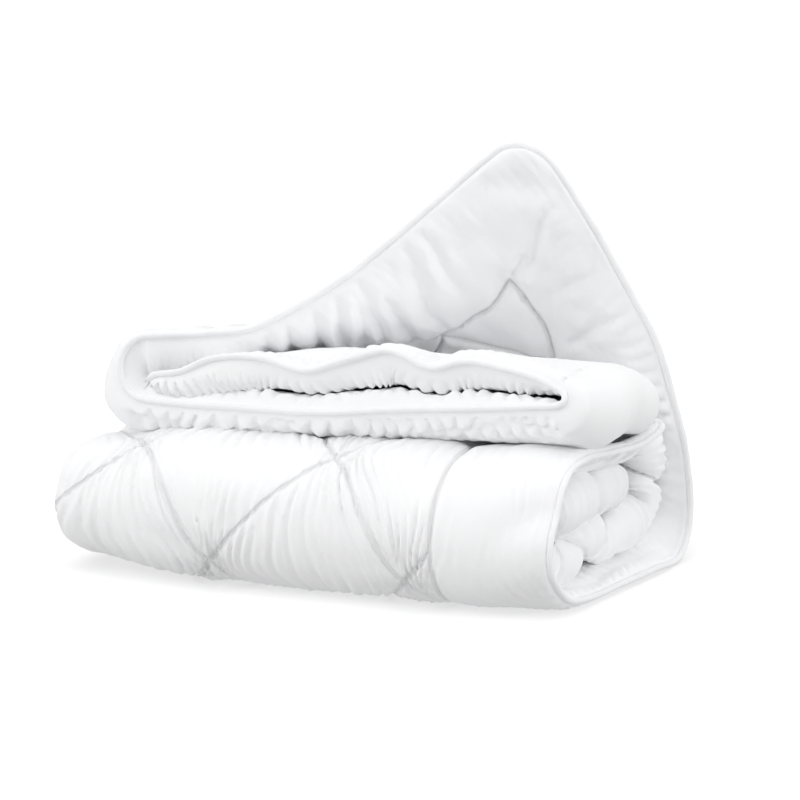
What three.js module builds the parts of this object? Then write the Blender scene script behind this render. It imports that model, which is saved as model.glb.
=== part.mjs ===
// A filled, quilted duvet with a corded edge. It is folded in three across its width,
// rolled one full turn, and the end of the strip lies on top of the roll. The corner of
// its outer layer is lifted and stands up at the back. Millimetres, +Z up, the front of
// the roll towards -Y. The origin is at the bottom centre of the whole.
import * as THREE from 'three';

// ---- driving sizes, mm -----------------------------------------------------------
const LENGTH = 1400;          // flat size along the roll's wrap
const WIDTH = 2000;           // flat size across the three folds
const BORDER_U = 160;         // plain border, to the seam that frames the quilting
const BORDER_S = 124;
const DIAMOND_U = 120;        // half diagonals of the quilted diamonds
const DIAMOND_S = (LENGTH - 2 * BORDER_S) / 7;
const CORNER_R = 45;          // rounding of the four corners
const EDGE_HALF = 2.6;        // half thickness where the two shells are sewn together
const SEAM_HALF = 5.0;        // half thickness in the sewn lines
const PUFF_ROLL = 12.8;       // half thickness between the lines, inside the roll
const PUFF_LOWER = 27.0;      // the same under the loose layers that lie on the roll
const PUFF_UPPER = 22.0;      // and under the layer above them
const PUFF_FLAP = 15.0;       // the same in the lifted flap
const CHANNEL = 26;           // how fast the filling rises beside a sewn line
const CORD_R = 4.0;           // corded edge
const CORD_GAP = 0.35;        // left between the cord and the sewn edge
const CORD_SIDES = 6;
const FRONT = 200;            // depth values are counted from 200 mm in front of the axis
const SHIFT = { x: -9.38, y: 11.09, z: 0 };   // brings the box centre over the origin

// ---- tables ----------------------------------------------------------------------
const table = (names, rows) => Object.fromEntries(names.split(' ').map((n, k) => [n, rows.map((r) => r[k])]));

// Sections along the wrap, s counted from the hidden end. Depth d and height z of the
// middle of the outer (1), middle (3) and inner (2) layer, and the x where the right
// and the left fold begin. Above s = 900 the outer layer is the flap.
const WRAP = table('s d1 z1 d3 z3 d2 z2 xr xl', [
  [0, 304, 145, 302, 121, 300, 96, 276, -286],
  [80, 228, 153, 227, 128, 226, 102, 284, -287],
  [160, 146, 161, 146, 133, 146, 105, 288, -288],
  [240, 58, 164, 58, 135, 58, 106, 286, -289],
  [286, 12, 154, 29, 129, 46, 103, 284, -290],
  [330, -19, 127, 10, 111, 39, 97, 282, -290],
  [370, -29, 89, 1, 89, 35, 89, 280, -290],
  [410, -19, 51, 10, 66, 39, 81, 282, -290],
  [454, 12, 23, 29, 47, 46, 74, 284, -291],
  [500, 58, 13, 58, 42, 58, 71, 286, -292],
  [580, 139, 12.7, 139, 42, 139, 71, 288, -292],
  [660, 224, 12.7, 224, 42, 224, 71, 288, -292],
  [740, 310, 13, 310, 42, 310, 70, 286, -292],
  [785, 354, 26, 340, 50, 327, 75, 288, -292],
  [830, 384, 56, 359, 70, 335, 87, 290, -292],
  [880, 397, 100, 368, 103, 339, 108, 292, -292],
  [940, 401, 155, 366, 148, 337, 143, 290, -290],
  [1010, 396, 215, 339, 195, 316, 171, 282, -286],
  [1090, 370, 270, 282, 232, 264, 191, 318, -280],
  [1180, 310, 320, 208, 264, 190, 204, 316, -271],
  [1270, 250, 360, 140, 278, 124, 212, 314, -261],
  [1340, 200, 385, 96, 277, 84, 219, 312, -250],
  [1400, 160, 400, 66, 270, 56, 226, 310, -240],
]);
// The free right edge of the outer layer, from the hidden end round the roll and up the flap.
const RIGHT_EDGE = table('s x d z', [
  [0, 331, 318, 196], [25, 337, 322, 184], [90, 338, 268, 170], [180, 331, 170, 174],
  [250, 330, 92, 181], [295, 330, 46, 176], [330, 330, 16, 158], [365, 330, 1, 130],
  [400, 330, -19, 100], [430, 330, -18, 72], [465, 330, 2, 46], [505, 330, 38, 21],
  [560, 332, 90, 11], [660, 340, 190, 9], [750, 348, 282, 9], [820, 350, 354, 10],
  [865, 350, 382, 40], [915, 349, 384, 90], [975, 343, 378, 151], [1040, 329, 369, 214],
  [1105, 316, 354, 273], [1190, 282, 332, 350], [1285, 240, 305, 436], [1360, 202, 284, 502],
  [1400, 176, 272, 540],
]);
// The front edge of the outer layer, from the peak down to the left fold.
const FLAP_EDGE = table('u x d z', [
  [0, 176, 272, 540], [40, 146, 259, 516], [120, 86, 232, 460], [200, 32, 206, 408],
  [280, -20, 180, 362], [360, -72, 154, 326], [440, -124, 124, 298], [520, -176, 98, 292],
  [620, -240, 70, 289],
]);
// Where the outer layer turns into the left fold, from the back up and over to the front.
const FLAP_LEFT = table('s x d z', [
  [900, -292, 398, 115], [970, -289, 392, 180], [1050, -284, 350, 224], [1140, -277, 280, 244],
  [1230, -268, 200, 256], [1320, -256, 126, 272], [1400, -240, 70, 289],
]);
// How far up the flap a thread really reaches: the slack lies low, at the back.
const SLACK = table('v w', [[0, 0], [0.2, 0.12], [0.4, 0.27], [0.6, 0.45], [0.75, 0.635], [1, 1]]);
// Heights of the two front edges of the upper layers, from left to right.
const LOWER_EDGE = table('x z', [[-300, 216], [-220, 210], [-120, 212], [0, 216], [100, 228], [200, 238], [310, 250]]);
const UPPER_EDGE = table('x z', [
  [-280, 250], [-200, 246], [-150, 268], [-90, 275], [-20, 265], [30, 282], [90, 298],
  [145, 281], [180, 292], [240, 288], [280, 280], [310, 268],
]);
// How much the two upper layers sink towards the left.
const SINK = table('s middle inner', [
  [940, 0, 0], [1010, 10, 5], [1090, 30, 10], [1180, 50, 14], [1270, 50, 14], [1340, 32, 11], [1400, 0, 0],
]);
const S_HINGE = 900;                       // where the outer layer leaves the roll
const U_OUTER = 620, U_INNER = 730;        // left fold: from the outer to the inner layer
const U_RIGHT = 1310, U_MIDDLE = 1360;     // right fold: from the inner to the middle layer
const LEFT_BULGE = 36;                     // how far the left fold stands out
const X_TUCK = { roll: -238, front: -246 }; // free edge of the middle layer, inside the left fold

// ---- curves ----------------------------------------------------------------------
function curve(t, xs, ys) {
  const n = xs.length;
  const q0 = Math.min(Math.max(t, xs[0]), xs[n - 1]);
  let i = 0;
  while (i < n - 2 && q0 >= xs[i + 1]) i += 1;
  const slope = (k) => (ys[k + 1] - ys[k]) / (xs[k + 1] - xs[k]);
  const tangent = (k) => {
    if (k === 0) return slope(0);
    if (k === n - 1) return slope(n - 2);
    const a = xs[k] - xs[k - 1];
    const b = xs[k + 1] - xs[k];
    return (slope(k - 1) * b + slope(k) * a) / (a + b);
  };
  const h = xs[i + 1] - xs[i];
  const q = (q0 - xs[i]) / h;
  const q2 = q * q;
  const q3 = q2 * q;
  return ys[i] * (2 * q3 - 3 * q2 + 1) + tangent(i) * h * (q3 - 2 * q2 + q)
    + ys[i + 1] * (3 * q2 - 2 * q3) + tangent(i + 1) * h * (q3 - q2);
}
const smooth = (t) => { const c = Math.min(Math.max(t, 0), 1); return c * c * (3 - 2 * c); };
const lerp = (a, b, t) => a + (b - a) * t;
const wrapAt = (s) => Object.fromEntries(Object.keys(WRAP).filter((k) => k !== 's').map((k) => [k, curve(s, WRAP.s, WRAP[k])]));
const onTable = (tab, key, t) => ({ x: curve(t, tab[key], tab.x), d: curve(t, tab[key], tab.d), z: curve(t, tab[key], tab.z) });

// middle surface of the outer layer, u from its free edge (0) to the left fold
function outerLayer(u, s) {
  const a = u / U_OUTER;
  const reach = 34 + 76 * smooth((s - 120) / 120);          // how far the free edge draws the layer
  const w = 1 - smooth(u / reach);
  if (s <= S_HINGE) {
    const L = wrapAt(s);
    const e = onTable(RIGHT_EDGE, 's', s);
    const inset = 0.3 * smooth((u - 500) / 130) * smooth((860 - s) / 200) * smooth((s - 90) / 100);   // rounds the left end
    const d1 = lerp(L.d1, L.d2, inset), z1 = lerp(L.z1, L.z2, inset);
    return { x: lerp(e.x, L.xl, a), d: d1 + (e.d - d1) * w, z: z1 + (e.z - z1) * w };
  }
  const v0 = (s - S_HINGE) / (LENGTH - S_HINGE);
  const v = v0 + (curve(v0, SLACK.v, SLACK.w) - v0) * smooth(a / 0.35);
  const sf = S_HINGE + v * (LENGTH - S_HINGE);
  const L = wrapAt(S_HINGE);
  const e0 = onTable(RIGHT_EDGE, 's', S_HINGE);
  const e = onTable(RIGHT_EDGE, 's', sf);
  const f = onTable(FLAP_LEFT, 's', sf);
  const f0 = onTable(FLAP_LEFT, 's', S_HINGE);
  const f1 = onTable(FLAP_LEFT, 's', LENGTH);
  const e1 = onTable(RIGHT_EDGE, 's', LENGTH);
  const top = onTable(FLAP_EDGE, 'u', u);
  const low = { x: lerp(e0.x, L.xl, a), d: L.d1 + (e0.d - L.d1) * w, z: L.z1 + (e0.z - L.z1) * w };
  const p = {};
  for (const k of ['x', 'd', 'z']) {
    p[k] = (1 - a) * e[k] + a * f[k] + (1 - v) * low[k] + v * top[k]
      - ((1 - a) * (1 - v) * e0[k] + (1 - a) * v * e1[k] + a * (1 - v) * f0[k] + a * v * f1[k]);
  }
  p.d += 55 * Math.sin(Math.PI * a) * Math.sin(Math.PI * v) ** 1.5 * (1 - 0.3 * v);
  return p;
}
const leftness = (x) => smooth((-20 - x) / 260);
function middleSurface(u, s) {
  const L = wrapAt(s);
  const free = smooth((s - 1180) / 220);
  const z2 = (x) => L.z2 + (curve(x, LOWER_EDGE.x, LOWER_EDGE.z) - 226) * free - curve(s, SINK.s, SINK.inner) * leftness(x);
  const z3 = (x) => L.z3 + (curve(x, UPPER_EDGE.x, UPPER_EDGE.z) - 270) * free - curve(s, SINK.s, SINK.middle) * leftness(x);
  let p;
  if (u <= U_OUTER) p = outerLayer(u, s);
  else if (u < U_INNER) {
    const t = Math.PI * (u - U_OUTER) / (U_INNER - U_OUTER);
    const c = (1 + Math.cos(t)) / 2;
    const o = outerLayer(U_OUTER, s);
    p = { x: lerp(L.xl, o.x, c) - LEFT_BULGE * Math.sin(t), d: lerp(L.d2, o.d, c), z: lerp(z2(L.xl), o.z, c) };
  } else if (u <= U_RIGHT) {
    const x = lerp(L.xl, L.xr, (u - U_INNER) / (U_RIGHT - U_INNER));
    p = { x, d: L.d2, z: z2(x) };
  } else if (u < U_MIDDLE) {
    const t = Math.PI * (u - U_RIGHT) / (U_MIDDLE - U_RIGHT);
    const c = (1 + Math.cos(t)) / 2;
    const half = Math.hypot(L.d2 - L.d3, z2(L.xr) - z3(L.xr)) / 2;
    p = { x: L.xr + half * Math.sin(t), d: lerp(L.d3, L.d2, c), z: lerp(z3(L.xr), z2(L.xr), c) };
  } else {
    const tuck = lerp(X_TUCK.roll, X_TUCK.front, smooth((s - 1000) / 400));
    const x = lerp(L.xr, tuck, (u - U_MIDDLE) / (WIDTH - U_MIDDLE));
    p = { x, d: L.d3, z: z3(x) };
  }
  return new THREE.Vector3(p.x + SHIFT.x, p.d - FRONT + SHIFT.y, p.z + SHIFT.z);
}
// from the layer's inner face to its outer face, for u to the left of s
function faceNormal(u, s) {
  const e = 1.5;
  const u0 = Math.max(u - e, 0), u1 = Math.min(u + e, WIDTH);
  const s0 = Math.max(s - e, 0), s1 = Math.min(s + e, LENGTH);
  const du = middleSurface(u1, s).sub(middleSurface(u0, s));
  const ds = middleSurface(u, s1).sub(middleSurface(u, s0));
  return du.cross(ds).normalize();
}

// ---- filling ---------------------------------------------------------------------
// The quilting is drawn a little towards the front where the roll is tight.
const drawn = (s) => s + 31 * Math.exp(-(((s - 400) / 160) ** 2));
function undrawn(target) {
  let lo = -40, hi = LENGTH + 1;
  for (let k = 0; k < 50; k += 1) { const m = (lo + hi) / 2; if (drawn(m) < target) lo = m; else hi = m; }
  return (lo + hi) / 2;
}
// distance to the nearest sewn line
function seamDistance(u, s0) {
  const s = drawn(s0);
  const du = Math.min(u - BORDER_U, WIDTH - BORDER_U - u);
  const ds = Math.min(s - BORDER_S, LENGTH - BORDER_S - s);
  if (du < 0 || ds < 0) {
    return Math.hypot(Math.min(du, 0), Math.min(ds, 0));
  }
  const p = (u - BORDER_U) / DIAMOND_U;
  const q = (LENGTH - BORDER_S - s) / DIAMOND_S;
  const odd = (t) => Math.abs(((t % 2) + 2) % 2 - 1);
  const cell = 1 / Math.hypot(1 / DIAMOND_U, 1 / DIAMOND_S);
  return Math.min(du, ds, odd(p + q) * cell, odd(p - q) * cell);
}
// half the thickness towards the outer (1) or inner (-1) face
function halfThickness(u, s, p, face) {
  let full = PUFF_ROLL;
  const x = p.x - SHIFT.x;
  const free = smooth((s - 1150) / 120);
  if (u <= U_OUTER) {
    full = lerp(PUFF_ROLL, PUFF_FLAP, smooth((s - 1000) / 200) * smooth((x + 200) / 120));
    if (face > 0) full += 5 * Math.exp(-(((s - 225) / 75) ** 2)) * smooth((u - 15) / 60) * (1 - smooth((u - 500) / 110));
  } else if (u > U_INNER) {
    const right = smooth((x + 150) / 170);
    const turn = smooth((u - U_RIGHT) / (U_MIDDLE - U_RIGHT));
    const lower = face > 0 ? PUFF_LOWER : 15;
    const upper = face > 0 ? 14 : PUFF_UPPER;
    full = lerp(PUFF_ROLL, lerp(lower, upper, turn), free * right);
  }
  full -= 3.4 * smooth((160 - s) / 160) * (s < 400 ? 1 : 0);            // squeezed towards the hidden end
  full -= 1.8 * Math.exp(-(((u - (U_RIGHT + U_MIDDLE) / 2) / 30) ** 2)) * (1 - smooth((s - 1000) / 100));
  const seam = 1 - Math.exp(-((seamDistance(u, s) / CHANNEL) ** 2));
  let h = SEAM_HALF + (full - SEAM_HALF) * seam;
  const edge = Math.min(u, WIDTH - u, s, LENGTH - s);
  const rise = Math.min(edge / 55, 1);
  h = EDGE_HALF + (h - EDGE_HALF) * Math.sqrt(1 - (1 - rise) ** 2);
  return h;
}

// ---- grid ------------------------------------------------------------------------
const sorted = (list) => [...new Set(list.map((v) => Math.round(v * 100) / 100))].sort((a, b) => a - b);
function gridU() {
  const out = [0, 16, 50, 100];
  for (let k = 0; k <= 28; k += 1) out.push(BORDER_U + (k * DIAMOND_U) / 2);
  out.push(WIDTH - 100, WIDTH - 50, WIDTH - 16, WIDTH);
  const folds = [620, 638, 656, 675, 694, 712, 730, 1310, 1320, 1330, 1340, 1350, 1360];
  return sorted([...out.filter((v) => !(v > 600 && v < 745) && !(v > 1290 && v < 1375)), ...folds, 1290, 1380]);
}
function gridS() {
  const out = [0, 16, 50, LENGTH - 85, LENGTH - 50, LENGTH - 16, LENGTH];
  for (let k = 0; k <= 14; k += 1) out.push(undrawn(BORDER_S + (k * DIAMOND_S) / 2));
  out.push(262, 300, 335, 370, 405, 435, 476, 770, 800, 840, 880, 925, 980);
  const all = sorted(out);
  return all.filter((v, i) => i === 0 || v - all[i - 1] > 12);
}
// rounds the four corners of the flat sheet
function rounded(u, s) {
  const mu = u > WIDTH / 2, ms = s > LENGTH / 2;
  const a = mu ? WIDTH - u : u;
  const b = ms ? LENGTH - s : s;
  if (a >= CORNER_R || b >= CORNER_R) return [u, s];
  const p = 1 - a / CORNER_R, q = 1 - b / CORNER_R;
  const a2 = CORNER_R * (1 - p * Math.sqrt(1 - (q * q) / 2));
  const b2 = CORNER_R * (1 - q * Math.sqrt(1 - (p * p) / 2));
  return [mu ? WIDTH - a2 : a2, ms ? LENGTH - b2 : b2];
}
const FLOOR = 3.0;    // what comes this near to the surface lies flat on it
const us = gridU();
const ss = gridS();
const nu = us.length, ns = ss.length;

function buildDuvet() {
  const pos = [];
  const thick = [];
  const put = (p) => { pos.push(p.x, p.y, p.z < FLOOR ? 0 : p.z); };
  const faces = [];
  for (let i = 0; i < nu; i += 1) {
    for (let j = 0; j < ns; j += 1) {
      const [u, s] = rounded(us[i], ss[j]);
      const m = middleSurface(u, s);
      const n = faceNormal(u, s);
      const onEdge = i === 0 || j === 0 || i === nu - 1 || j === ns - 1;
      const h = [1, -1].map((face) => (onEdge ? EDGE_HALF : halfThickness(u, s, m, face)));
      faces.push([m.clone().addScaledVector(n, h[0]), m.clone().addScaledVector(n, -h[1])]);
      thick.push(h[0] + h[1]);
    }
  }
  for (const side of [0, 1]) for (const f of faces) put(f[side]);
  const N = nu * ns;
  const id = (i, j, side) => side * N + i * ns + j;
  const idx = [];
  const quad = (a, b, c, d, other) => { if (other) idx.push(a, b, d, b, c, d); else idx.push(a, b, c, a, c, d); };
  for (let i = 0; i < nu - 1; i += 1) {
    for (let j = 0; j < ns - 1; j += 1) {
      const t = (k, l) => thick[k * ns + l];
      const other = Math.max(t(i + 1, j), t(i, j + 1)) < Math.max(t(i, j), t(i + 1, j + 1));   // creases follow the sewn lines
      quad(id(i, j, 0), id(i + 1, j, 0), id(i + 1, j + 1, 0), id(i, j + 1, 0), other);
      quad(id(i, j, 1), id(i, j + 1, 1), id(i + 1, j + 1, 1), id(i + 1, j, 1), other);
    }
  }
  const rim = rimLoop();
  for (let k = 0; k < rim.length; k += 1) {
    const [i0, j0] = rim[k];
    const [i1, j1] = rim[(k + 1) % rim.length];
    const a = id(i0, j0, 0), b = id(i1, j1, 0), c = id(i1, j1, 1), d = id(i0, j0, 1);
    idx.push(a, d, c, a, c, b);
  }
  const g = new THREE.BufferGeometry();
  g.setAttribute('position', new THREE.Float32BufferAttribute(pos, 3));
  g.setIndex(idx);
  g.computeVertexNormals();
  return g;
}
// grid indices once round the edge of the sheet
function rimLoop() {
  const loop = [];
  for (let i = 0; i < nu - 1; i += 1) loop.push([i, 0]);
  for (let j = 0; j < ns - 1; j += 1) loop.push([nu - 1, j]);
  for (let i = nu - 1; i > 0; i -= 1) loop.push([i, ns - 1]);
  for (let j = ns - 1; j > 0; j -= 1) loop.push([0, j]);
  return loop;
}
function buildCord() {
  // each section stands straight out from the sewn edge of the sheet
  const loop = rimLoop();
  const frames = loop.map(([i, j]) => {
    const [u, s] = rounded(us[i], ss[j]);
    return { m: middleSurface(u, s), n: faceNormal(u, s) };
  });
  const pos = [];
  const K = frames.length;
  for (let k = 0; k < K; k += 1) {
    const prev = frames[(k + K - 1) % K].m, next = frames[(k + 1) % K].m;
    const { m, n } = frames[k];
    const t1 = m.clone().sub(prev).normalize();
    const t2 = next.clone().sub(m).normalize();
    const t = t1.clone().add(t2).normalize();
    const out = t.clone().cross(n).normalize();
    const up = out.clone().cross(t).normalize();
    const open = 1 / Math.max(0.8, t.dot(t1));               // keeps the gap on bent stretches
    const c = m.clone().addScaledVector(out, (CORD_R + CORD_GAP + 0.9) * open);
    for (let q = 0; q < CORD_SIDES; q += 1) {
      const a = (q / CORD_SIDES) * 2 * Math.PI;
      const p = c.clone().addScaledVector(out, -Math.cos(a) * CORD_R).addScaledVector(up, Math.sin(a) * CORD_R);
      pos.push(p.x, p.y, Math.max(p.z, 0.8));
    }
  }
  const idx = [];
  for (let k = 0; k < K; k += 1) {
    const k2 = (k + 1) % K;
    for (let q = 0; q < CORD_SIDES; q += 1) {
      const q2 = (q + 1) % CORD_SIDES;
      const a = k * CORD_SIDES + q, b = k2 * CORD_SIDES + q, c = k2 * CORD_SIDES + q2, d = k * CORD_SIDES + q2;
      idx.push(a, b, c, a, c, d);
    }
  }
  const g = new THREE.BufferGeometry();
  g.setAttribute('position', new THREE.Float32BufferAttribute(pos, 3));
  g.setIndex(idx);
  g.computeVertexNormals();
  return g;
}
// turns a closed geometry's faces outwards
function outward(g) {
  const p = g.attributes.position, ix = g.index.array;
  const a = new THREE.Vector3(), b = new THREE.Vector3(), c = new THREE.Vector3();
  let v = 0;
  for (let k = 0; k < ix.length; k += 3) {
    a.fromBufferAttribute(p, ix[k]); b.fromBufferAttribute(p, ix[k + 1]); c.fromBufferAttribute(p, ix[k + 2]);
    v += a.dot(b.cross(c));
  }
  if (v < 0) for (let k = 0; k < ix.length; k += 3) { const t = ix[k]; ix[k] = ix[k + 1]; ix[k + 1] = t; }
  return g;
}

const cloth = new THREE.MeshStandardMaterial({ color: 0xf1f2f4, roughness: 0.85, metalness: 0 });
const edging = new THREE.MeshStandardMaterial({ color: 0xe9eaed, roughness: 0.8, metalness: 0 });
const duvet = new THREE.Mesh(outward(buildDuvet()), cloth);
duvet.name = 'duvet';
const piping = new THREE.Mesh(outward(buildCord()), edging);
piping.name = 'piping';
const group = new THREE.Group();
group.add(duvet, piping);
export default group;
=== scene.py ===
import math

import bpy
import numpy as np
from mathutils import Matrix


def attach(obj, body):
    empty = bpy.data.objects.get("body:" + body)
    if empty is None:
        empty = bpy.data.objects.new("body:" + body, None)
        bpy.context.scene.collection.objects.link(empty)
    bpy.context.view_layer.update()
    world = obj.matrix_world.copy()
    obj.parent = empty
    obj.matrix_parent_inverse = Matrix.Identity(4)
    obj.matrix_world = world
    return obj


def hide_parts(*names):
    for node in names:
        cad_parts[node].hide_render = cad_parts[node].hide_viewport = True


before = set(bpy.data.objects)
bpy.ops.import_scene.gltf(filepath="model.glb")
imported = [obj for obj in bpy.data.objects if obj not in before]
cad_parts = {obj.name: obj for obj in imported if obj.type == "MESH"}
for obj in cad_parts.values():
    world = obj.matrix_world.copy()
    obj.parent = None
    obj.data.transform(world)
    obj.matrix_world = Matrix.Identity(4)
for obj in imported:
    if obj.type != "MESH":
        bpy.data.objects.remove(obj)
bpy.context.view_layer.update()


# ---- camera ----------------------------------------------------------------------
SHIFT = np.array([-9.38, 11.09, 0.0])
AZ, EL, DIST, PX_PER_MM = math.radians(24.5), math.radians(11.5), 6000.0, 0.842
TARGET, TARGET_PX = np.array([330.0, -170.0, 0.0]), (563.0, 618.0)


def camera():
    right = np.array([math.cos(AZ), math.sin(AZ), 0.0])
    back = np.array([math.sin(AZ) * math.cos(EL), -math.cos(AZ) * math.cos(EL), math.sin(EL)])
    up = np.cross(back, right)
    focal = PX_PER_MM * DIST
    off = [(TARGET_PX[k] - 400.0) / focal for k in (0, 1)]
    centre = TARGET + SHIFT + DIST * back - DIST * (off[0] * right - off[1] * up)
    cam = bpy.data.cameras.new("camera")
    cam.sensor_width = cam.sensor_height = 36.0
    cam.lens = focal / 800.0 * 36.0
    cam.clip_start, cam.clip_end = 0.1, 100.0
    ob = bpy.data.objects.new("camera", cam)
    m = Matrix.Identity(4)
    for k in range(3):
        m[k][0], m[k][1], m[k][2], m[k][3] = right[k], up[k], back[k], centre[k] / 1000.0
    ob.matrix_world = m
    bpy.context.scene.collection.objects.link(ob)
    bpy.context.scene.camera = ob


camera()

# ---- driving sizes, mm -----------------------------------------------------------
LENGTH, WIDTH = 1400.0, 2000.0
BORDER_U, BORDER_S = 160.0, 124.0
DIAMOND_U, DIAMOND_S = 120.0, (LENGTH - 2 * 124.0) / 7
CORNER_R = 45.0
EDGE_HALF, SEAM_HALF = 2.6, 4.2
PUFF_ROLL, PUFF_TOP, PUFF_FLAP = 13.2, 22.0, 15.0
CORD_R = 3.9
FRONT = 200.0
S_HINGE = 900.0
U_OUTER, U_INNER, U_RIGHT, U_MIDDLE = 620.0, 730.0, 1310.0, 1360.0
LEFT_BULGE = 36.0
TUCK_ROLL, TUCK_FRONT = -252.0, -246.0


def table(names, rows):
    return {n: np.array([r[k] for r in rows], float) for k, n in enumerate(names.split())}


# Sections along the wrap, s from the hidden end: depth d and height z of the middle of
# the outer (1), middle (3) and inner (2) layer, and where the right and left folds begin.
WRAP = table("s d1 z1 d3 z3 d2 z2 xr xl", [
    (0, 304, 145, 302, 121, 300, 96, 276, -286),
    (80, 228, 153, 227, 128, 226, 102, 284, -287),
    (160, 146, 161, 146, 133, 146, 105, 288, -288),
    (240, 58, 164, 58, 135, 58, 106, 286, -289),
    (286, 12, 154, 29, 129, 46, 103, 284, -290),
    (330, -19, 127, 10, 111, 39, 97, 282, -290),
    (370, -29, 89, 1, 89, 35, 89, 280, -290),
    (410, -19, 51, 10, 66, 39, 81, 282, -290),
    (454, 12, 23, 29, 47, 46, 74, 284, -291),
    (500, 58, 13, 58, 42, 58, 71, 286, -292),
    (580, 139, 12.7, 139, 42, 139, 71, 288, -292),
    (660, 224, 12.7, 224, 42, 224, 71, 288, -292),
    (740, 310, 13, 310, 42, 310, 70, 286, -292),
    (785, 354, 26, 340, 50, 327, 75, 288, -292),
    (830, 384, 56, 359, 70, 335, 87, 290, -292),
    (880, 397, 100, 368, 103, 339, 108, 292, -292),
    (940, 401, 155, 366, 148, 337, 143, 290, -290),
    (1010, 396, 215, 339, 195, 316, 171, 282, -286),
    (1090, 370, 270, 282, 232, 264, 191, 318, -280),
    (1180, 310, 320, 208, 260, 190, 204, 316, -271),
    (1270, 250, 360, 140, 268, 124, 212, 314, -261),
    (1340, 200, 385, 96, 269, 84, 219, 312, -250),
    (1400, 160, 400, 66, 270, 56, 226, 310, -240),
])
# The free right edge of the outer layer, from the hidden end round the roll and up the flap.
RIGHT_EDGE = table("s x d z", [
    (0, 331, 318, 196), (25, 337, 322, 184), (90, 338, 268, 170), (180, 331, 170, 174),
    (250, 330, 92, 181), (295, 330, 46, 176), (330, 330, 16, 158), (365, 330, 1, 130),
    (400, 330, -19, 100), (430, 330, -18, 72), (465, 330, 2, 46), (505, 330, 38, 21),
    (560, 332, 90, 11), (660, 340, 190, 9), (750, 348, 282, 9), (820, 350, 354, 10),
    (865, 350, 382, 40), (915, 349, 384, 90), (975, 343, 378, 151), (1040, 329, 369, 214),
    (1105, 316, 354, 273), (1190, 282, 332, 350), (1285, 240, 305, 436), (1360, 202, 284, 502),
    (1400, 176, 272, 540),
])
# The front edge of the outer layer, from the peak down to the left fold.
FLAP_EDGE = table("u x d z", [
    (0, 176, 272, 540), (40, 146, 259, 516), (120, 86, 232, 460), (200, 32, 206, 408),
    (280, -20, 180, 362), (360, -72, 154, 326), (440, -124, 124, 298), (520, -176, 98, 292),
    (620, -240, 70, 289),
])
# Where the outer layer turns into the left fold, from the back up and over to the front.
FLAP_LEFT = table("s x d z", [
    (900, -292, 398, 115), (970, -289, 392, 180), (1050, -284, 350, 224), (1140, -277, 280, 244),
    (1230, -268, 200, 256), (1320, -256, 126, 272), (1400, -240, 70, 289),
])
SLACK = table("v w", [(0, 0), (0.2, 0.12), (0.4, 0.27), (0.6, 0.45), (0.75, 0.635), (1, 1)])
LOWER_EDGE = table("x z", [(-300, 216), (-220, 210), (-120, 212), (0, 216), (100, 228), (200, 238), (310, 250)])
UPPER_EDGE = table("x z", [
    (-280, 250), (-200, 246), (-150, 268), (-90, 275), (-20, 265), (30, 282), (90, 298),
    (145, 281), (180, 292), (240, 288), (280, 280), (310, 268),
])
SINK = table("s middle inner", [
    (940, 0, 0), (1010, 10, 5), (1090, 30, 10), (1180, 50, 14), (1270, 50, 14), (1340, 32, 11), (1400, 0, 0),
])


# ---- curves ----------------------------------------------------------------------
def curve(t, xs, ys):
    d, h = np.diff(ys) / np.diff(xs), np.diff(xs)
    m = np.empty(len(xs))
    m[0], m[-1] = d[0], d[-1]
    m[1:-1] = (d[:-1] * h[1:] + d[1:] * h[:-1]) / (h[:-1] + h[1:])
    t = np.clip(t, xs[0], xs[-1])
    i = np.clip(np.searchsorted(xs, t, side="right") - 1, 0, len(xs) - 2)
    q = (t - xs[i]) / h[i]
    q2, q3 = q * q, q * q * q
    return (ys[i] * (2 * q3 - 3 * q2 + 1) + m[i] * h[i] * (q3 - 2 * q2 + q)
            + ys[i + 1] * (3 * q2 - 2 * q3) + m[i + 1] * h[i] * (q3 - q2))


def smooth(t):
    c = np.clip(t, 0.0, 1.0)
    return c * c * (3 - 2 * c)


def lerp(a, b, t):
    return a + (b - a) * t


def wrap_at(s):
    return {k: curve(s, WRAP["s"], WRAP[k]) for k in WRAP if k != "s"}


def on(tab, key, t):
    return [curve(t, tab[key], tab[k]) for k in ("x", "d", "z")]


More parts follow.
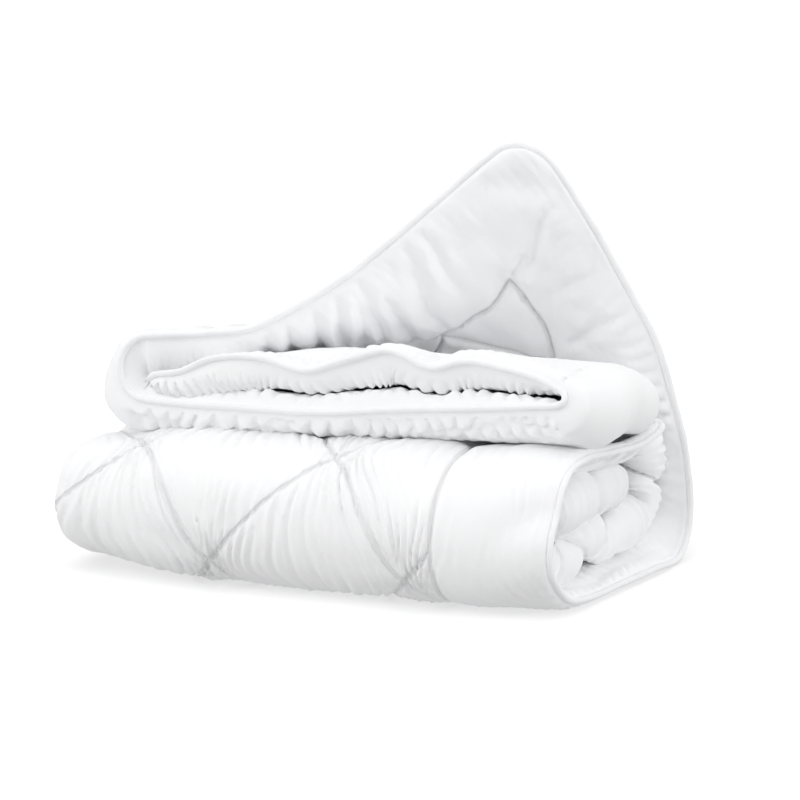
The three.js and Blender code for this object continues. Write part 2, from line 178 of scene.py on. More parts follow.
def outer_layer(u, s):
    a = u / U_OUTER
    reach = 34 + 76 * smooth((s - 120) / 120)
    w = 1 - smooth(u / reach)
    L, e = wrap_at(s), on(RIGHT_EDGE, "s", s)
    inset = 0.30 * smooth((u - 500) / 130) * smooth((860 - s) / 200) * smooth((s - 90) / 100)
    d1, z1 = lerp(L["d1"], L["d2"], inset), lerp(L["z1"], L["z2"], inset)
    roll = [lerp(e[0], L["xl"], a), d1 + (e[1] - d1) * w, z1 + (e[2] - z1) * w]
    v0 = np.clip((s - S_HINGE) / (LENGTH - S_HINGE), 0, 1)
    v = v0 + (curve(v0, SLACK["v"], SLACK["w"]) - v0) * smooth(a / 0.35)
    sf = S_HINGE + v * (LENGTH - S_HINGE)
    H = {k: float(x) for k, x in wrap_at(np.array(S_HINGE)).items()}
    e0 = [float(x) for x in on(RIGHT_EDGE, "s", np.array(S_HINGE))]
    e1 = [float(x) for x in on(RIGHT_EDGE, "s", np.array(LENGTH))]
    f0 = [float(x) for x in on(FLAP_LEFT, "s", np.array(S_HINGE))]
    f1 = [float(x) for x in on(FLAP_LEFT, "s", np.array(LENGTH))]
    ef, f, top = on(RIGHT_EDGE, "s", sf), on(FLAP_LEFT, "s", sf), on(FLAP_EDGE, "u", u)
    low = [lerp(e0[0], H["xl"], a), H["d1"] + (e0[1] - H["d1"]) * w, H["z1"] + (e0[2] - H["z1"]) * w]
    flap = []
    for k in range(3):
        flap.append((1 - a) * ef[k] + a * f[k] + (1 - v) * low[k] + v * top[k]
                    - ((1 - a) * (1 - v) * e0[k] + (1 - a) * v * e1[k] + a * (1 - v) * f0[k] + a * v * f1[k]))
    flap[1] = flap[1] + 55 * np.sin(np.pi * np.clip(a, 0, 1)) * np.sin(np.pi * v) ** 1.5 * (1 - 0.3 * v)
    rolled = s <= S_HINGE
    return [np.where(rolled, r, q) for r, q in zip(roll, flap)]


def leftness(x):
    return smooth((-20 - x) / 260)


def middle_surface(u, s):
    """The middle of the sheet: u across the folds, s along the wrap. Row frame, mm."""
    L = wrap_at(s)
    free = smooth((s - 1180) / 220)
    sink = {k: curve(s, SINK["s"], SINK[k]) for k in ("middle", "inner")}

    def z2(x):
        return L["z2"] + (curve(x, LOWER_EDGE["x"], LOWER_EDGE["z"]) - 226) * free - sink["inner"] * leftness(x)

    def z3(x):
        return L["z3"] + (curve(x, UPPER_EDGE["x"], UPPER_EDGE["z"]) - 270) * free - sink["middle"] * leftness(x)

    o = outer_layer(np.minimum(u, U_OUTER), s)
    t = np.pi * np.clip((u - U_OUTER) / (U_INNER - U_OUTER), 0, 1)
    c = (1 + np.cos(t)) / 2
    left = [lerp(L["xl"], o[0], c) - LEFT_BULGE * np.sin(t), lerp(L["d2"], o[1], c), lerp(z2(L["xl"]), o[2], c)]
    xi = lerp(L["xl"], L["xr"], np.clip((u - U_INNER) / (U_RIGHT - U_INNER), 0, 1))
    inner = [xi, L["d2"], z2(xi)]
    t = np.pi * np.clip((u - U_RIGHT) / (U_MIDDLE - U_RIGHT), 0, 1)
    c = (1 + np.cos(t)) / 2
    zr2, zr3 = z2(L["xr"]), z3(L["xr"])
    half = np.hypot(L["d2"] - L["d3"], zr2 - zr3) / 2
    right = [L["xr"] + half * np.sin(t), lerp(L["d3"], L["d2"], c), lerp(zr3, zr2, c)]
    tuck = lerp(TUCK_ROLL, TUCK_FRONT, smooth((s - 1000) / 400))
    xm = lerp(L["xr"], tuck, np.clip((u - U_MIDDLE) / (WIDTH - U_MIDDLE), 0, 1))
    mid = [xm, L["d3"], z3(xm)]
    out = []
    for k in range(3):
        out.append(np.where(u <= U_OUTER, o[k], np.where(u < U_INNER, left[k], np.where(
            u <= U_RIGHT, inner[k], np.where(u < U_MIDDLE, right[k], mid[k])))))
    p = np.stack(out, -1)
    p[..., 1] -= FRONT
    return p + SHIFT


def face_normal(u, s, e=1.5):
    du = middle_surface(np.minimum(u + e, WIDTH), s) - middle_surface(np.maximum(u - e, 0), s)
    ds = middle_surface(u, np.minimum(s + e, LENGTH)) - middle_surface(u, np.maximum(s - e, 0))
    n = np.cross(du, ds)
    return n / np.linalg.norm(n, axis=-1, keepdims=True)


# ---- quilting --------------------------------------------------------------------
def drawn(s):
    return s + 31 * np.exp(-(((s - 400) / 160) ** 2))


def frame_seam(s):
    """The straight seam that frames the quilting, along the free edge."""
    return lerp(142.0, BORDER_U, smooth((s - 700) / 300)) - 24 * smooth((s - 1080) / 200)


def front_seam(u, s):
    """The same seam along the front edge; on the flap it runs a little askew."""
    return LENGTH - BORDER_S + 4 - 0.25 * np.clip(u - 136, 0, 160) * smooth((s - 1000) / 150) * (u < 740)


def quilt_pq(u, s):
    """Diamond coordinates: a sewn line wherever p + q or p - q is an odd number."""
    on_flap = smooth((s - 700) / 300)
    start = lerp(163.0, BORDER_U, on_flap) + 22 * smooth((s - 290) / 140) * (1 - on_flap)
    p = (u - start) / lerp(130.0, DIAMOND_U, on_flap)
    return p, (front_seam(u, s) - 4 - drawn(s)) / DIAMOND_S


def frame_distances(u, s0):
    s = drawn(s0)
    du = np.minimum(u - frame_seam(s0), WIDTH - BORDER_U - u)
    ds = np.minimum(s - BORDER_S, front_seam(u, s0) - s)
    return du, ds


def seam_distance(u, s0):
    du, ds = frame_distances(u, s0)
    outside = np.hypot(np.minimum(du, 0), np.minimum(ds, 0))
    p, q = quilt_pq(u, s0)
    cell = 1 / math.hypot(1 / DIAMOND_U, 1 / DIAMOND_S)

    def odd(t):
        return np.abs(np.mod(t, 2) - 1)

    inside = np.minimum(np.minimum(du, ds), np.minimum(odd(p + q), odd(p - q)) * cell)
    return np.where((du < 0) | (ds < 0), outside, inside)


def bump(t, centre, width):
    return np.exp(-(((t - centre) / width) ** 2))


def half(u, s, x, side):
    """Half the thickness between the sewn lines, towards the outer (1) or inner (-1) face."""
    xx = x - SHIFT[0]
    front = smooth((s - 1150) / 120)
    slot = smooth((s - 1270) / 70)
    right = smooth((xx + 250) / 60)
    first = np.full_like(u, PUFF_ROLL)
    first = lerp(first, PUFF_FLAP, smooth((s - 1000) / 200) * right)
    if side > 0:
        top = lerp(12.0, 4.0, smooth((u - 220) / 140))
        first = first + top * bump(s, 225, 75) * smooth((u - 15) / 60) * (1 - smooth((u - 500) / 110))
        lower = lerp(PUFF_ROLL, 31.0 + 3.5 * smooth((xx - 20) / 120), front)
        upper = lerp(PUFF_ROLL, lerp(7.5, 15.0, smooth((xx - 60) / 200)), smooth((s - 1040) / 130))
    else:
        L = wrap_at(s)
        free = smooth((s - 1180) / 220)
        gap = L["z3"] - L["z2"] + (curve(xx, UPPER_EDGE["x"], UPPER_EDGE["z"]) - 270 - curve(xx, LOWER_EDGE["x"], LOWER_EDGE["z"]) + 226) * free
        first = first + 31 * smooth((s - 1285) / 50) * smooth((u - 440) / 90)
        gap = gap * (1 - 0.2 * bump(u, (U_RIGHT + U_MIDDLE) / 2, 45))
        lower = lerp(PUFF_ROLL, lerp(13.0, 0.38 * gap, right), slot)
        upper = lerp(PUFF_ROLL, lerp(10.0, 0.57 * gap, right), slot)
    turn = smooth((u - U_RIGHT) / (U_MIDDLE - U_RIGHT))
    rest = lerp(lower, upper, turn)
    left = smooth((u - U_OUTER) / (U_INNER - U_OUTER))
    full = lerp(first, rest, left)
    if side < 0:
        full = full + 34 * bump(u, 672, 62) * smooth((s - 1270) / 60)
    full = full - 3.4 * smooth((160 - s) / 160) * (s < 400)
    if side > 0:
        full = full + 8.5 * bump(u, (U_RIGHT + U_MIDDLE) / 2, 48) * (1 - smooth((s - 1000) / 100))
    return full


def pillow(d, width):
    r = np.clip(d / width, 0, 1)
    return np.sqrt(1 - (1 - r) ** 2)


# ---- grid ------------------------------------------------------------------------
def stretches(parts):
    """Positions with a spacing for each stretch: (start, end, spacing)."""
    out = [parts[0][0]]
    for a, b, step in parts:
        n = max(1, int(round((b - a) / step)))
        out += list(a + (b - a) * (np.arange(n) + 1) / n)
    return np.array(out, float)


us = stretches([(0, 12, 2.0), (12, 620, 2.25), (620, 730, 2.75), (730, 1310, 3.6), (1310, 1360, 2.5),
                (1360, 1980, 3.1), (1980, 2000, 4.0)])
ss = stretches([(0, 16, 4), (16, 236, 6), (236, 700, 4.3), (700, 900, 6), (900, 1240, 5.0), (1240, 1388, 3.8), (1388, 1400, 2.4)])
nu, ns = len(us), len(ss)
U0, S0 = np.meshgrid(us, ss, indexing="ij")


def rounded(u, s):
    a = np.where(u > WIDTH / 2, WIDTH - u, u)
    b = np.where(s > LENGTH / 2, LENGTH - s, s)
    near = (a < CORNER_R) & (b < CORNER_R)
    p, q = 1 - a / CORNER_R, 1 - b / CORNER_R
    a2 = np.where(near, CORNER_R * (1 - p * np.sqrt(np.maximum(1 - q * q / 2, 0))), a)
    b2 = np.where(near, CORNER_R * (1 - q * np.sqrt(np.maximum(1 - p * p / 2, 0))), b)
    return np.where(u > WIDTH / 2, WIDTH - a2, a2), np.where(s > LENGTH / 2, LENGTH - b2, b2)


U, S = rounded(U0, S0)
M = middle_surface(U, S)
N = face_normal(U, S)
dist = seam_distance(U, S)
edge = np.minimum(np.minimum(U, WIDTH - U), np.minimum(S, LENGTH - S))
rng = np.random.default_rng(11)


STEP_U, STEP_S = 2.0, 4.0


def field(lam, along, band, seed, angle=0.0):
    """Smooth random field over the flat sheet with about one wave each lam across the folds."""
    r = np.random.default_rng(seed)
    n1, n2 = int(WIDTH / STEP_U), int(LENGTH / STEP_S)
    f = np.fft.rfft2(r.standard_normal((n1, n2)))
    ku = np.fft.fftfreq(n1, STEP_U)[:, None]
    ks = np.fft.rfftfreq(n2, STEP_S)[None, :]
    k1 = ku * math.cos(angle) + ks * math.sin(angle)
    k2 = -ku * math.sin(angle) + ks * math.cos(angle)
    g = np.exp(-(((np.abs(k1) - 1 / lam) * lam / band) ** 2)) * np.exp(-((k2 * along) ** 2))
    x = np.fft.irfft2(f * g, s=(n1, n2))
    return x / x.std()


def sample(x, u, s):
    gu, gs = np.mod(u / STEP_U, x.shape[0]), np.mod(s / STEP_S, x.shape[1])
    i, j = np.floor(gu).astype(int), np.floor(gs).astype(int)
    a, b = gu - i, gs - j
    i, j = i % x.shape[0], j % x.shape[1]
    i2, j2 = (i + 1) % x.shape[0], (j + 1) % x.shape[1]
    return x[i, j] * (1 - a) * (1 - b) + x[i2, j] * a * (1 - b) + x[i, j2] * (1 - a) * b + x[i2, j2] * a * b


def creased(x):
    """Round folds with narrow valleys between them."""
    return np.clip(np.sqrt(x * x + 0.02) - 0.82, -1, 1.3)


# where the sewn lines cross on the front of the roll
CROSSINGS = [(181, 423), (441, 423), (701, 423), (293, 272), (553, 272), (311, 612), (571, 612)]
# creases on the lifted flap: depth, width and a line of (u, s) points
CREASES = [
    (2.6, 7, [(172, 1400), (172, 1376), (188, 1340), (200, 1296)]),
    (2.2, 8, [(192, 1400), (212, 1364), (244, 1320), (276, 1264)]),
    (2.6, 6, [(272, 1400), (284, 1372), (324, 1304), (360, 1240)]),
    (2.6, 6, [(312, 1400), (320, 1380), (360, 1332), (408, 1260)]),
    (1.8, 6, [(288, 1392), (316, 1344), (380, 1260)]),
    (2.4, 7, [(268, 1364), (296, 1292), (328, 1220)]),
    (2.0, 6, [(252, 1288), (264, 1256)]),
    (2.6, 6, [(348, 1396), (376, 1356), (436, 1264)]),
    (2.2, 6, [(392, 1396), (420, 1350), (470, 1262)]),
    (1.8, 7, [(424, 1398), (452, 1352), (500, 1270)]),
    (3.0, 5, [(131, 1284), (108, 1290), (84, 1296)]),
    (2.4, 7, [(124, 1276), (88, 1280), (40, 1316), (16, 1324)]),
    (3.0, 15, [(84, 1390), (56, 1368), (32, 1348), (10, 1336)]),
    (2.0, 10, [(128, 1132), (60, 1146), (4, 1160)]),
    (1.6, 9, [(112, 1230), (60, 1216), (10, 1220)]),
    (1.6, 12, [(170, 1356), (130, 1350), (100, 1330)]),
]


def line_valley(u, s, pts, width):
    """1 along a line through pts, falling off to either side and towards its ends."""
    best, t_best = np.full(u.shape, 1e9), np.zeros(u.shape)
    pts = [np.array(q, float) for q in pts]
    seg = [np.linalg.norm(b - a) for a, b in zip(pts, pts[1:])]
    total, run = sum(seg), 0.0
    for a, b, n in zip(pts, pts[1:], seg):
        t = np.clip(((u - a[0]) * (b[0] - a[0]) + (s - a[1]) * (b[1] - a[1])) / n ** 2, 0, 1)
        d = np.hypot(u - a[0] - t * (b[0] - a[0]), s - a[1] - t * (b[1] - a[1]))
        t_best = np.where(d < best, (run + t * n) / total, t_best)
        best = np.minimum(best, d)
        run += n
    fade = smooth(t_best / 0.12) * smooth((1 - t_best) / 0.35)
    return (np.exp(-((best / width) ** 2)) - 0.45 * np.exp(-(((best - 2.1 * width) / (1.1 * width)) ** 2))) * fade


def wrinkles(side):
    """Height of the fine folds over the padded face, mm."""
    first, rest = (U < 740) * 1.0, (U >= 720) * 1.0
    roll = smooth((S - 205) / 40) * smooth((900 - S) / 60) * first
    near_b, near_a = LENGTH - S, U
    uw = U + 0.12 * (S - 300)
    for cu, cs in CROSSINGS:
        g = 1 - 0.58 * np.exp(-(((S - cs) / 62) ** 2) - (((U - cu) / 80) ** 2))
        uw = uw + (U - cu) * (1 / g - 1)
    along = creased(sample(field(21.5, 110.0, 0.22, 3), uw, S)) * 0.8 + 0.5 * creased(sample(field(34.0, 150.0, 0.25, 4), uw, S))
    in_quilt = smooth((U - frame_seam(S)) / 12)
    # flatter in the middle of a diamond, drawn in at its seams
    w = roll * (1 - 0.9 * smooth((S - 455) / 60)) * along * lerp(1.9, 3.8, in_quilt) * (0.55 + 0.45 * np.exp(-((dist - 14) / 24) ** 2))
    if side < 0:
        w = w * 0.2
    flap = smooth((S - 930) / 60) * first
    soft = sample(field(60.0, 60.0, 0.4, 12 + side), U, S)
    w = w + flap * 1.1 * soft
    b_fine = creased(sample(field(27.0, 60.0, 0.25, 21 + side), U, S))
    b_wide = creased(sample(field(44.0, 50.0, 0.5, 31 + side), U, S))
    a_fine = creased(sample(field(40.0, 60.0, 0.25, 41 + side, math.pi / 2), U, S))
    if side > 0:
        at_b = np.exp(-((near_b / 48) ** 1.5))
        under = rest * (U < 1310)
        w = w + at_b * under * 7.5 * b_wide
        w = w + at_b * (U > 1350) * 1.8 * b_wide * smooth((S - 1290) / 40)
        folds = sample(field(34.0, 80.0, 0.3, 51, math.pi / 2), U, S)
        sausage = np.exp(-(((U - 1335) / 70) ** 4)) * (1 - smooth((S - 1000) / 60)) * smooth(S / 25)
        w = w + sausage * 4.2 * creased(folds)
        w = w + np.exp(-(((U - 1335) / 80) ** 4)) * smooth((S - 1060) / 60) * 0.35 * folds
        w = w + np.exp(-((near_a / 34) ** 2)) * a_fine * lerp(1.6, 1.2, smooth((S - 930) / 60))
    else:
        at_b = np.exp(-((near_b / 46) ** 1.6))
        w = w + at_b * (U > 1335) * 5.5 * b_fine
        w = w + at_b * rest * (U <= 1335) * 4.2 * b_wide
        w = w + at_b * smooth((U - 430) / 60) * (U < 735) * 3.6 * b_fine
        w = w + at_b * smooth((430 - U) / 60) * 0.9 * b_wide
        at_a = np.exp(-((near_a / 42) ** 1.6))
        w = w + at_a * a_fine * lerp(6.5, 2.4, smooth((S - 1000) / 80))
        for depth, width, pts in CREASES:
            w = w - 2.0 * depth * line_valley(U, S, pts, width) * smooth(near_b / 8) * smooth(near_a / 8)
    return w


# thickness with its seams, for each face
quick_rise = smooth((U - 640) / 80) * smooth((S - 1100) / 100)


def lip_of(side):
    under = smooth((U - 700) / 40) * (1 - smooth((U - 1270) / 60)) * (side > 0)
    rise = np.clip(edge / lerp(52.0, lerp(34.0, 105.0, under), quick_rise), 0, 1)
    return np.sqrt(1 - (1 - rise) ** 2)


# the lines hardly show where the upper layers lie loose
shallow = np.maximum(0.92 * smooth(1 - (np.abs(U - 1340) - 110) / 50) * smooth((S - 990) / 60), 0.75 * (U > 1360) * smooth((S - 1000) / 60))


def shell(side):
    f = half(U, S, M[..., 0], side)
    lip = lip_of(side)
    deep = 0.62 * pillow(dist, 46) + 0.38 * (1 - np.exp(-((dist / 13) ** 2)))
    fine = 1 - 0.24 * (1 - pillow(dist, 40)) - 0.20 * np.exp(-((dist / 3.8) ** 2))
    crisp = smooth((745 - U) / 10) * smooth((S - 190) / 40)
    face = 1 - 0.30 * (1 - pillow(dist, 34)) - 0.55 * np.exp(-((dist / 4.2) ** 2))
    if side < 0:
        fine = face
    seam = lerp(deep, fine, crisp)
    if side > 0:
        seam = lerp(seam, 1.0, shallow)
        seam = lerp(seam, 1.0, 0.7 * bump(U, 680, 75) * (S < 950))
    h = SEAM_HALF + (f - SEAM_HALF) * seam
    for cu, cs in CROSSINGS:
        h = h - 3.2 * np.exp(-((np.hypot(U - cu, S - cs) / 15) ** 2)) * (side > 0) * (cu < 600)
    h = np.maximum(h, 2.0)
    h = EDGE_HALF + (h - EDGE_HALF) * lip
    h = h + wrinkles(side) * smooth((edge - 1) / 7) * (0.65 + 0.35 * lip)
    e = EDGE_HALF + (0.86 * f - EDGE_HALF) * lip
    h = np.maximum(h, 1.2)
    h[0, :] = h[-1, :] = EDGE_HALF
    h[:, 0] = h[:, -1] = EDGE_HALF
    return M + N * (side * h)[..., None], M + N * (side * e)[..., None]


def lengths(P, axis):
    return np.linalg.norm(np.diff(P, axis=axis), axis=-1)


def relax(side, rounds):
    base, even = shell(side)
    n_out = N * side
    # how far the cloth may stand off its base
    free = 1 - np.exp(-(dist / 7.0) ** 1.3)
    free *= smooth((edge - 1.0) / 12.0)
    zone_roll = smooth((S - 225) / 40) * smooth((900 - S) / 60) * (U < 740)
    in_border = smooth((BORDER_U + 6 - U) / 12) * (S < 1000)
    flap_zone = smooth((S - 930) / 60) * (U < 740)
    upper = (U >= 720) * 1.0
    near_edge_s = np.exp(-(((LENGTH - S) / 60) ** 2)) + np.exp(-((S / 60) ** 2))
    near_edge_u = np.exp(-((U / 55) ** 2)) + np.exp(-(((WIDTH - U) / 55) ** 2))
    cap = 0.15 + 0.45 * zone_roll * (1 - 0.35 * in_border) + 0.6 * flap_zone + 0.5 * upper
    cap = cap * free + 0.6 * np.clip(near_edge_s + near_edge_u, 0, 1) * free
    ex_u = 0.012 + 0.050 * zone_roll * (1 - 0.55 * in_border) + 0.016 * flap_zone + 0.016 * upper + 0.055 * np.clip(near_edge_s, 0, 1)
    ex_s = 0.004 + 0.004 * flap_zone + 0.050 * np.clip(near_edge_u, 0, 1)
    seed = sample(field(14.0, 46.0, 0.3, 61 + side), U, S)
    X = base + n_out * (np.clip(seed, -1.5, 1.5) * cap * 0.4)[..., None]
    ru = lengths(even, 0) * (1 + 0.5 * (ex_u[1:] + ex_u[:-1]))
    rs = lengths(even, 1) * (1 + 0.5 * (ex_s[:, 1:] + ex_s[:, :-1]))
    # the puffed base may be longer than the even surface across a valley
    ru = np.maximum(ru, lengths(base, 0) * 1.004)
    rs = np.maximum(rs, lengths(base, 1) * 0.999)
    d1 = np.sqrt(ru[:, 1:] ** 2 + rs[1:] ** 2)
    w = np.clip(free, 0, 1)[..., None] * 1.0
    w[0] = w[-1] = 0
    w[:, 0] = w[:, -1] = 0

    def pull(a, b, wa, wb, rest, k):
        d = b - a
        l = np.sqrt(np.einsum("...i,...i->...", d, d)) + 1e-9
        c = (k * (l - rest) / l / (wa[..., 0] + wb[..., 0] + 1e-6))[..., None] * d
        a += wa * c
        b -= wb * c

    for r in range(rounds):
        for par in (0, 1):
            n = (nu - 1 - par) // 2
            A, B = slice(par, par + 2 * n, 2), slice(par + 1, par + 1 + 2 * n, 2)
            pull(X[A], X[B], w[A], w[B], ru[A], 0.9)
        for par in (0, 1):
            n = (ns - 1 - par) // 2
            A, B = slice(par, par + 2 * n, 2), slice(par + 1, par + 1 + 2 * n, 2)
            pull(X[:, A], X[:, B], w[:, A], w[:, B], rs[:, A], 0.5)
        D = X - base
        D[1:-1] += 0.02 * (D[2:] + D[:-2] - 2 * D[1:-1])
        D[:, 1:-1] += 0.06 * (D[:, 2:] + D[:, :-2] - 2 * D[:, 1:-1])
        dn = np.einsum("...i,...i->...", D, n_out)
        T = D - n_out * dn[..., None]
        tl = np.linalg.norm(T, axis=-1) + 1e-9
        lim = 0.25 + 0.9 * cap
        T *= np.minimum(1, lim / tl)[..., None]
        dn = np.clip(dn, -cap, cap * 1.15)
        D = T + n_out * dn[..., None]
        D *= np.clip(w * 1.0, 0, 1) ** 0.15
        X = base + D
    return X, base


ROUNDS = 24
outer, outer_base = relax(1, ROUNDS)
inner, inner_base = relax(-1, max(6, ROUNDS // 2))


def settle(X):
    """Nothing goes below the floor; what nearly touches it lies flat."""
    X[..., 2] = np.where(X[..., 2] < 2.5, 0.25 * np.maximum(X[..., 2], 0) , X[..., 2])
    return X


outer, inner = settle(outer), settle(inner)


# ---- meshes ----------------------------------------------------------------------
def rim_loop():
    return ([(i, 0) for i in range(nu - 1)] + [(nu - 1, j) for j in range(ns - 1)]
            + [(i, ns - 1) for i in range(nu - 1, 0, -1)] + [(0, j) for j in range(ns - 1, 0, -1)])


def make_mesh(name, verts_mm, faces):
    me = bpy.data.meshes.new(name)
    me.vertices.add(len(verts_mm))
    me.vertices.foreach_set("co", (np.asarray(verts_mm, np.float32) / 1000.0).ravel())
    faces = np.asarray(faces, np.int32)
    k = faces.shape[1]
    me.loops.add(faces.size)
    me.loops.foreach_set("vertex_index", faces.ravel())
    me.polygons.add(len(faces))
    me.polygons.foreach_set("loop_start", np.arange(0, faces.size, k, dtype=np.int32))
    me.update(calc_edges=True)
    me.polygons.foreach_set("use_smooth", np.ones(len(faces), bool))
    me.validate()
    ob = bpy.data.objects.new(name, me)
    bpy.context.scene.collection.objects.link(ob)
    return ob


def build_duvet():
    ids = np.arange(nu * ns).reshape(nu, ns)
    n = nu * ns
    q = np.stack([ids[:-1, :-1], ids[1:, :-1], ids[1:, 1:], ids[:-1, 1:]], -1).reshape(-1, 4)
    top = q
    bottom = q[:, ::-1] + n
    rim = rim_loop()
    r = np.array([i * ns + j for i, j in rim])
    r2 = np.roll(r, -1)
    side = np.stack([r, r + n, r2 + n, r2], -1)
    faces = np.concatenate([top, bottom, side])
    verts = np.concatenate([outer.reshape(-1, 3), inner.reshape(-1, 3)])
    ob = make_mesh("duvet_cloth", verts, faces)
    uu = np.concatenate([U.ravel(), U.ravel()])
    sv = np.concatenate([S.ravel(), S.ravel()])
    p, qq = quilt_pq(uu, sv)
    li = np.empty(len(ob.data.loops), np.int32)
    ob.data.loops.foreach_get("vertex_index", li)
    flat = ob.data.uv_layers.new(name="flat")
    flat.data.foreach_set("uv", np.stack([uu[li] / 1000, sv[li] / 1000], -1).astype(np.float32).ravel())
    du, ds = frame_distances(uu, sv)
    border = ob.data.uv_layers.new(name="border")
    border.data.foreach_set("uv", np.stack([du[li] / 1000, ds[li] / 1000], -1).astype(np.float32).ravel())
    quilt = ob.data.uv_layers.new(name="quilt")
    quilt.data.foreach_set("uv", np.stack([(p + qq)[li], (p - qq)[li]], -1).astype(np.float32).ravel())
    return ob


duvet = build_duvet()


def keep_weights():
    """1 where the fine mesh shows and stays, 0 where it may be thinned: outer and inner face."""
    first = (U < 745) * 1.0
    front = smooth((S - 222) / 20) * (1 - smooth((S - 640) / 60)) * first
    back = 0.25 * smooth((S - 640) / 60) * first
    upper = smooth((S - 1040) / 60) * (1 - first) * np.where(U < 1310, smooth((S - 1270) / 40), 1.0)
    fold = smooth(1 - (np.abs(U - 1335) - 50) / 15) * smooth((S - 10) / 20)
    out = np.clip(np.maximum(front + back + upper, fold), 0, 1)
    flap = smooth((S - 930) / 40) * first
    slot = smooth((S - 1280) / 30) * (1 - first)
    end = smooth((170 - U) / 30) * smooth((S - 225) / 25)
    inn = np.clip(flap + slot + end, 0, 1)
    return out, inn


def thin(ob, target):
    out, inn = keep_weights()
    wts = np.clip(1 - np.concatenate([out.ravel(), inn.ravel()]), 0.02, 1)
    vg = ob.vertex_groups.new(name="hidden")
    levels = np.round(wts * 20).astype(int)
    vg.add(np.nonzero(levels == 0)[0].tolist(), 0.02, "REPLACE")
    for lv in range(1, 21):
        idx = np.nonzero(levels == lv)[0]
        if len(idx):
            vg.add(idx.tolist(), lv / 20, "REPLACE")
    me = ob.data
    tris = len(me.loops) - 2 * len(me.polygons)
    md = ob.modifiers.new("thin", "DECIMATE")
    md.ratio = target / tris
    md.use_collapse_triangulate = True
    md.vertex_group = "hidden"
    md.vertex_group_factor = 1.0e-4
    dg = bpy.context.evaluated_depsgraph_get()
    new = bpy.data.meshes.new_from_object(ob.evaluated_get(dg), preserve_all_data_layers=True, depsgraph=dg)
    ob.modifiers.clear()
    old = ob.data
    ob.data = new
    bpy.data.meshes.remove(old)
    ob.data.name = "duvet_cloth"
    ob.vertex_groups.clear()


thin(duvet, 192000)
print("duvet triangles", len(duvet.data.loops) - 2 * len(duvet.data.polygons))


# ---- corded edge -----------------------------------------------------------------
def build_cord():
    rim = rim_loop()
    idx = np.array(rim)
    mid = 0.5 * (outer[idx[:, 0], idx[:, 1]] + inner[idx[:, 0], idx[:, 1]])
    n = N[idx[:, 0], idx[:, 1]]
    seg = np.linalg.norm(np.roll(mid, -1, 0) - mid, axis=1)
    at = np.concatenate([[0], np.cumsum(seg)])
    total = at[-1]
    K = int(total / 3.4)
    want = np.arange(K) * total / K
    m2 = np.concatenate([mid, mid[:1]])
    n2 = np.concatenate([n, n[:1]])
    c = np.stack([np.interp(want, at, m2[:, k]) for k in range(3)], -1)
    nn = np.stack([np.interp(want, at, n2[:, k]) for k in range(3)], -1)
    for _ in range(3):
        nn = (np.roll(nn, 1, 0) + nn + np.roll(nn, -1, 0)) / 3
        c = (np.roll(c, 1, 0) + 2 * c + np.roll(c, -1, 0)) / 4
    nn /= np.linalg.norm(nn, axis=1, keepdims=True)
    t = np.roll(c, -1, 0) - np.roll(c, 1, 0)
    t /= np.linalg.norm(t, axis=1, keepdims=True)
    out = np.cross(t, nn)
    out /= np.linalg.norm(out, axis=1, keepdims=True)
    up = np.cross(out, t)
    r = np.random.default_rng(21)
    ph = np.cumsum(0.28 + 0.10 * r.random(K))
    wob = 0.35 * np.sin(ph * 0.9) + 0.25 * np.sin(ph * 0.37 + 1.0)
    centre = c + out * (CORD_R * 0.78 + wob)[:, None]
    sides = 12
    a = np.arange(sides) / sides * 2 * np.pi
    rad = CORD_R * (1 + 0.035 * np.sin(want[:, None] / 4.6 + 2 * np.cos(a[None])) + 0.02 * r.standard_normal((K, sides)))
    P = centre[:, None] - out[:, None] * (np.cos(a)[None, :, None] * rad[..., None]) + up[:, None] * (np.sin(a)[None, :, None] * rad[..., None])
    P[..., 2] = np.maximum(P[..., 2], 0.3)
    k0 = np.arange(K)[:, None] * sides
    k1 = ((np.arange(K) + 1) % K)[:, None] * sides
    q0 = np.arange(sides)[None]
    q1 = (q0 + 1) % sides
    f = np.stack([k0 + q0, k1 + q0, k1 + q1, k0 + q1], -1).reshape(-1, 4)
    ob = make_mesh("piping_cord", P.reshape(-1, 3), f)
    return ob


piping = build_cord()


